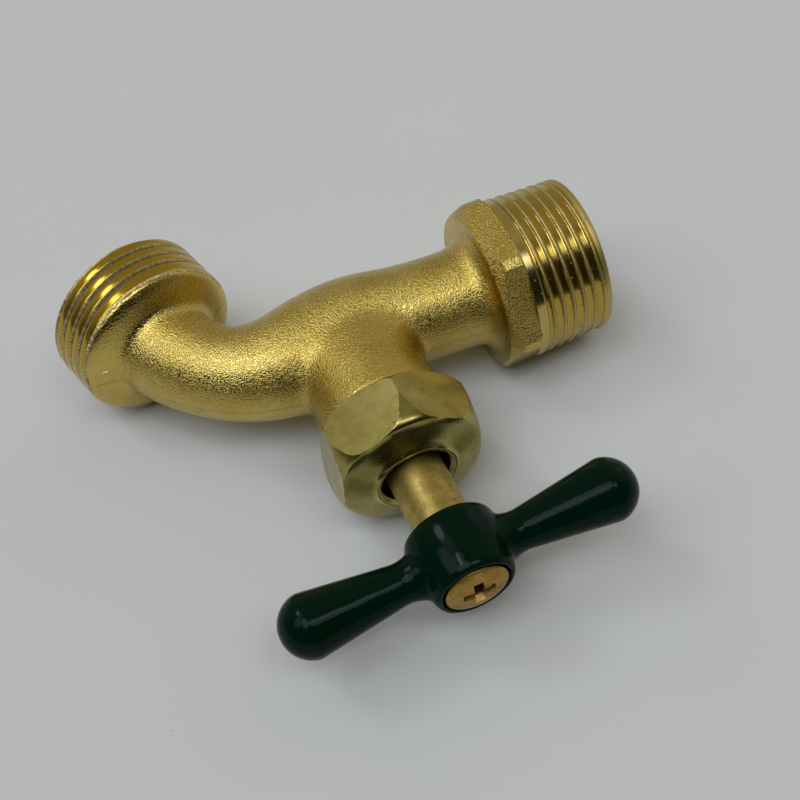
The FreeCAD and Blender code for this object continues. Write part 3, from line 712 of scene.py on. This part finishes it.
# %% The hose thread's brass
beside_outlet = (outlet_axis.y, -outlet_axis.x, 0.0)
cut_hose, height, marks, lines, nicks, depth = thread_finish(
    "cut_brass_hose", tuple(outlet_shoulder / MM), outlet_axis, beside_outlet)
burr = 1 - height.rise(0.1, 0.2)
torn = depth.rise(0.04, 0.12).maths("MAXIMUM", burr)
# Painted shade: floor is the deepest part of each groove, which is painted near black below.
floor = depth.rise(0.32, 0.42)
colour = cut_hose.mix(marks.rise(0.4, 0.7), paint("b49858"), paint("f4e4b4"))
colour = cut_hose.mix(torn, paint("c09e34"), colour)
# The groove floors get a painted shade; the real nicks darken with the same colour.
colour = cut_hose.mix((floor * 0.8).maths("MAXIMUM", nicks * 0.4), colour, paint("3a280c"))
cut_hose.set(Base_Color=colour, Metallic=1.0, Roughness=0.12 + lines * 0.06 + torn * 0.18)
cut_hose.set(Normal=cut_hose.bump(lines * 0.1 + torn * marks * 3.5 - nicks, 0.03))
cut_hose.tell()

# %% The pipe thread's brass
cut_pipe, height, marks, lines, nicks, depth = thread_finish(
    "cut_brass_pipe", tuple(inlet_shoulder / MM), inlet_axis, (0.0, -1.0, 0.0))
smooth_cut = depth.rise(0.06, 0.2)
crest_only = (1 - smooth_cut) * height.rise(1.6, 2.2)
end_chamfer = height.rise(11.65, 11.8)
colour = cut_pipe.mix(marks.rise(0.35, 0.65), paint("a08c50"), paint("dccb8c"))
colour = cut_pipe.mix(crest_only * (1 - end_chamfer), paint("c4b06a"), colour)
colour = cut_pipe.mix(smooth_cut, colour, paint("bda047"))
colour = cut_pipe.mix(nicks * 0.7, colour, paint("5c4214"))
dull = 0.14 + lines * 0.05 + crest_only * 0.17 + end_chamfer * 0.1
cut_pipe.set(Base_Color=colour, Metallic=1.0, Roughness=dull)
chatter = crest_only * (1 - end_chamfer) * marks
cut_pipe.set(Normal=cut_pipe.bump(lines * 0.15 + chatter * 2.0 - nicks, 0.03))
cut_pipe.tell()

# %% [markdown]
# The nut was turned smooth and has stained a little since. Faint lathe rings run round its front
# face, specks sit in the stain, and the bevelled edges are painted pale, a painted highlight.

# %% The nut's brass
nut_finish = Finish("nut_brass")
where = nut_finish.spot((STEM_X, -NUT_FRONT, 0.0))
flat_way = nut_finish.vectors("MULTIPLY", [where, (1.0, 0.0, 1.0)])
out_from_stem = nut_finish.vectors("LENGTH", [flat_way], "Value")
lines = nut_finish.rings(out_from_stem, 0.35, 1.0)
face_only = nut_finish.along(where, (0.0, -1.0, 0.0)).rise(-2.4, -1.4)
stain = nut_finish.noise(where, 3.5, 4.0, 0.65)
specks = nut_finish.noise(where, 0.7, 1.0).rise(0.74, 0.78)
painted_glint = nut_finish.mark("painted_glint_edge")
colour = nut_finish.mix(stain.rise(0.35, 0.65), paint("aca05e"), paint("988a48"))
colour = nut_finish.mix(specks, colour, paint("6a5a2a"))
# Painted highlight: the marked bevel faces are painted pale.
colour = nut_finish.mix(painted_glint * 0.8, colour, paint("e8d88c"))
dull = 0.17 + 0.12 * stain + specks * 0.3 - painted_glint * 0.05
nut_finish.set(Base_Color=colour, Metallic=1.0, Roughness=dull)
nut_finish.set(Normal=nut_finish.bump(lines * face_only * 0.3 + stain * 0.4 - specks, 0.02))
nut_finish.tell()

# %% [markdown]
# The stem is drawn rod that has gone dull, and the screw and the inner brass have aged the same
# way, each in its own colours. One helper makes them all. The screw's cross gets darker with
# depth, a painted shade in the recess. The gland follower is painted near black, a painted shade
# in the gap round the stem.

# %% The stem, the screw and the inner brass
def worn_rod(name, fresh, dull, dark, hollow=None):
    """Stained and speckled brass, with a painted shade deeper than hollow along Y where that is
    given.
    """
    rod = Finish(name)
    where = rod.spot()
    stain = rod.noise(where, 2.2, 4.0, 0.7)
    specks = rod.noise(where, 0.4, 2.0, 0.6).rise(0.60, 0.72)
    colour = rod.mix(stain.rise(0.35, 0.65), paint(fresh), paint(dull))
    colour = rod.mix(specks * 0.7, colour, paint(dark))
    fine = rod.noise(where, 0.25, 1.0)
    # Painted shade: deeper than hollow the colour darkens towards 3a1c0c, as shade in the recess.
    if hollow is not None:
        painted_recess_shade = rod.along(where, (0.0, 1.0, 0.0)).rise(hollow, hollow + 0.35)
        colour = rod.mix(painted_recess_shade, colour, paint("3a1c0c"))
    rod.set(Base_Color=colour, Metallic=1.0, Roughness=0.36 + 0.16 * stain + specks * 0.2)
    rod.set(Normal=rod.bump(fine + stain - specks, 0.02))
    rod.tell()
    return rod


stem_finish = worn_rod("stem_brass", "c2aa60", "aa944e", "5a4722")
# Painted shade: the gland follower is painted near black for the shade in the gap round the stem.
gland_shade_finish = worn_rod("gland_painted_shade", "3a2c12", "221a0c", "0c0904")
inner_finish = worn_rod("inner_brass", "dcc07c", "c8a860", "6a5020")
screw_finish = worn_rod("screw_brass", "b49248", "9c7c38", "5c4014", hollow=0.95 - head_top)

# %% [markdown]
# ## Enamel, rubber and packing
#
# The handle's enamel is a very dark green under a clear gloss, with fine scratches that catch
# the light, more of them on one arm than on the other. The washer is black rubber with a dry
# bloom, and the packing is waxed fibre, wound in strands.

# %% The enamel
enamel = Finish("handle_enamel")
where = enamel.spot()
orange_peel = enamel.noise(where, 2.6, 1.0)
stretched = enamel.node("ShaderNodeMapping", {}, {"Vector": where, "Scale": (0.35, 1.6, 1.6)})
handled = enamel.along(where, (1.0, 0.0, 0.0)).rise(-32.0, -26.0) * 0.12
scratch = (enamel.noise(stretched, 0.5, 3.0, 0.7) + handled).rise(0.84, 0.87)
colour = enamel.mix(scratch, paint("001b0e"), paint("3c5a4c"))
enamel.set(Base_Color=colour, Roughness=0.06 + orange_peel * 0.08 + scratch * 0.25)
enamel.set(Specular_IOR_Level=0.08)
enamel.set(Normal=enamel.bump(orange_peel - scratch * 0.25, 0.03))
enamel.tell()

# %% The washer
rubber = Finish("seat_rubber")
where = rubber.spot()
bloom = rubber.noise(where, 1.2, 4.0, 0.6)
rubber.set(Base_Color=rubber.mix(bloom, paint("1c1c1d"), paint("343433")))
rubber.set(Roughness=0.55 + 0.25 * bloom, Normal=rubber.bump(bloom, 0.03))
rubber.tell()

# %% The packing
packing = Finish("packing")
where = packing.spot((STEM_X, 0.0, 0.0))
strands = packing.rings(packing.along(where, (0.0, 1.0, 0.0)), 0.3, 2.0)
fuzz = packing.noise(where, 0.35, 3.0, 0.7)
packing.set(Base_Color=packing.mix(fuzz, paint("8a8474"), paint("b8b09a")))
packing.set(Roughness=0.7 + 0.2 * fuzz, Normal=packing.bump(strands + fuzz, 0.05))
packing.tell()

# %% [markdown]
# ## Finishes on, pieces on their bodies
#
# Each piece is dressed and rides on the body that carries it: casting, threads, hexagon and nut
# on the tap's body, handle and screw on the spindle that turns. A piece that stands for a
# measured solid replaces it. The small inner pieces keep their measured shape.

# %% Everything gets its finish and its body
def dress(piece, finish):
    piece.data.materials.clear()
    piece.data.materials.append(finish.holder)
    print(piece.name, "wears", finish.holder.name)


for piece, finish, node, slot in (
        (casting, cast, "body_casting", "cast_brass"),
        (nut, nut_finish, "bonnet_nut", "nut_brass")):
    dress(piece, finish)
    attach(piece, "tap_body")
    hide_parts(node)
for piece, finish in ((hose_thread, cut_hose), (pipe_thread, cut_pipe), (hexagon, cast)):
    dress(piece, finish)
    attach(piece, "tap_body")
for piece, finish, node, slot in (
        (handle, enamel, "tee_handle", "handle_enamel"),
        (screw, screw_finish, "handle_screw", "screw_brass")):
    dress(piece, finish)
    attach(piece, "spindle")
    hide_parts(node)
dress(frame["nodes"]["stem"], stem_finish)
dress(frame["nodes"]["gland_follower"], gland_shade_finish)
for node in ("packing_washer", "washer_holder", "holder_ring", "washer_plate", "washer_screw"):
    dress(frame["nodes"][node], inner_finish)
dress(frame["nodes"]["seat_washer"], rubber)
for node in ("packing_ring_upper", "packing_ring_lower"):
    dress(frame["nodes"][node], packing)

# %% [markdown]
# ## The table
#
# The tap lies on a pale, dull table with a few dark specks. One large disc is enough: the camera
# sees nothing of its edge, and from low at the side the edge makes a far horizon.

# %% The table
bpy.ops.mesh.primitive_circle_add(vertices=96, radius=3.0, fill_type="NGON",
                                  location=(-0.035, 0.0, cad_low.z))
table = bpy.context.object
table.name = "table"
bpy.ops.object.transform_apply(location=True, rotation=True, scale=True)
table_finish = Finish("table")
where = table_finish.spot()
tone = table_finish.noise(where, 30.0, 3.0)
specks = table_finish.noise(where, 0.8, 1.0).rise(0.80, 0.84)
colour = table_finish.mix(tone, paint("d3d3c9"), paint("d8d7cd"))
colour = table_finish.mix(specks * 0.4, colour, paint("8c8e88"))
table_finish.set(Base_Color=colour, Roughness=0.6)
table_finish.set(Specular_IOR_Level=0.2)
dress(table, table_finish)

# %% [markdown]
# ## The room's light
#
# Shiny metal shows its surroundings, so a room lights the tap and there is no lamp. The room is
# dim and warm, brighter behind the tap and at the sides, and dark where the picture is taken
# from. Round windows, most of them overhead and all slightly blue, make the bright bands on the
# brass and the soft shadows. The smallest and a narrow strip give the thin lights on the enamel.

# %% The windows
ROOM_LEVEL = 1.36
WINDOWS = (  # direction, full within and gone beyond so many degrees, brightness
    ((-0.28, -0.25, 0.93), 13, 21, 2.2),
    ((-0.66, 0.03, 0.75), 8, 18, 1.4),
    ((-0.36, 0.27, 0.89), 6, 15, 0.8),
    ((-0.42, 0.46, 0.78), 4, 10, 4.0),
    ((0.25, -0.38, 0.89), 7, 13, 2.0),
    ((0.8, 0.45, 0.4), 7, 16, 0.55),
    ((-0.28, 0.0, 0.95), 1.5, 4.0, 8.0),
)
room = Finish("room", bpy.context.scene.world or bpy.data.worlds.new("room"))
bpy.context.scene.world = room.holder
look = room.node("ShaderNodeTexCoord", {}, {}, "Generated")


def patch(direction, inner, outer):
    """A round patch of the room, full up to inner degrees from a direction, gone at outer."""
    edge = math.cos(math.radians(outer))
    full = math.cos(math.radians(inner))
    return room.along(look, Vector(direction).normalized()).rise(edge, full)


overhead = room.along(look, (0.0, 0.0, 1.0)).rise(0.75, 0.95)
behind = room.along(look, (0.35, 0.91, 0.2)).rise(0.0, 0.5)
right = room.along(look, (1.0, 0.0, 0.0)).rise(0.4, 0.9)
left = room.along(look, (-0.9, 0.45, 0.0)).rise(0.4, 0.9)
dim = 0.01 + behind * 0.23 + right * 0.11 + left * 0.06 + overhead * 0.04
across_strip = room.along(look, (0.0, 0.942, 0.334)).maths("ABSOLUTE")
along_strip = room.along(look, (1.0, 0.0, 0.0))
strip = (1 - across_strip.rise(0.012, 0.035)) * along_strip.rise(-0.2, -0.05)
strip = strip * (1 - along_strip.rise(0.36, 0.45)) * overhead
window = strip * 5.0
for direction, inner, outer, brightness in WINDOWS:
    window = window.maths("MAXIMUM", patch(direction, inner, outer) * brightness)
red = dim.maths("MAXIMUM", window * 0.96)
green = (dim * 0.94).maths("MAXIMUM", window * 1.02)
blue = (dim * 0.76).maths("MAXIMUM", window * 1.2)
tinted = room.node("ShaderNodeCombineColor", {}, {0: red, 1: green, 2: blue})
room.set(Color=tinted, Strength=ROOM_LEVEL)
room.tell()

# %% [markdown]
# ## The camera
#
# The camera stands where the photographer stood, found together with the tap's sizes. It looks
# down at the tap from the handle's side, and is rolled a little, as a hand holds it.

# %% The camera
LENS = 61.86
SENSOR = 36.0
ROLL = -7.08
camera_spot = Vector((-75.53, -132.44, 168.91)) * MM
looked_at = Vector((-37.453, -14.307, 0.0)) * MM
bpy.ops.object.camera_add(location=camera_spot)
camera = bpy.context.object
level = (looked_at - camera_spot).to_track_quat("-Z", "Y").to_matrix()
camera.rotation_euler = (level @ Matrix.Rotation(math.radians(ROLL), 3, "Z")).to_euler()
camera.data.lens = LENS
camera.data.sensor_width = SENSOR
camera.data.clip_start = 0.005
bpy.context.scene.camera = camera
print("camera", [round(value / MM, 1) for value in camera.location])
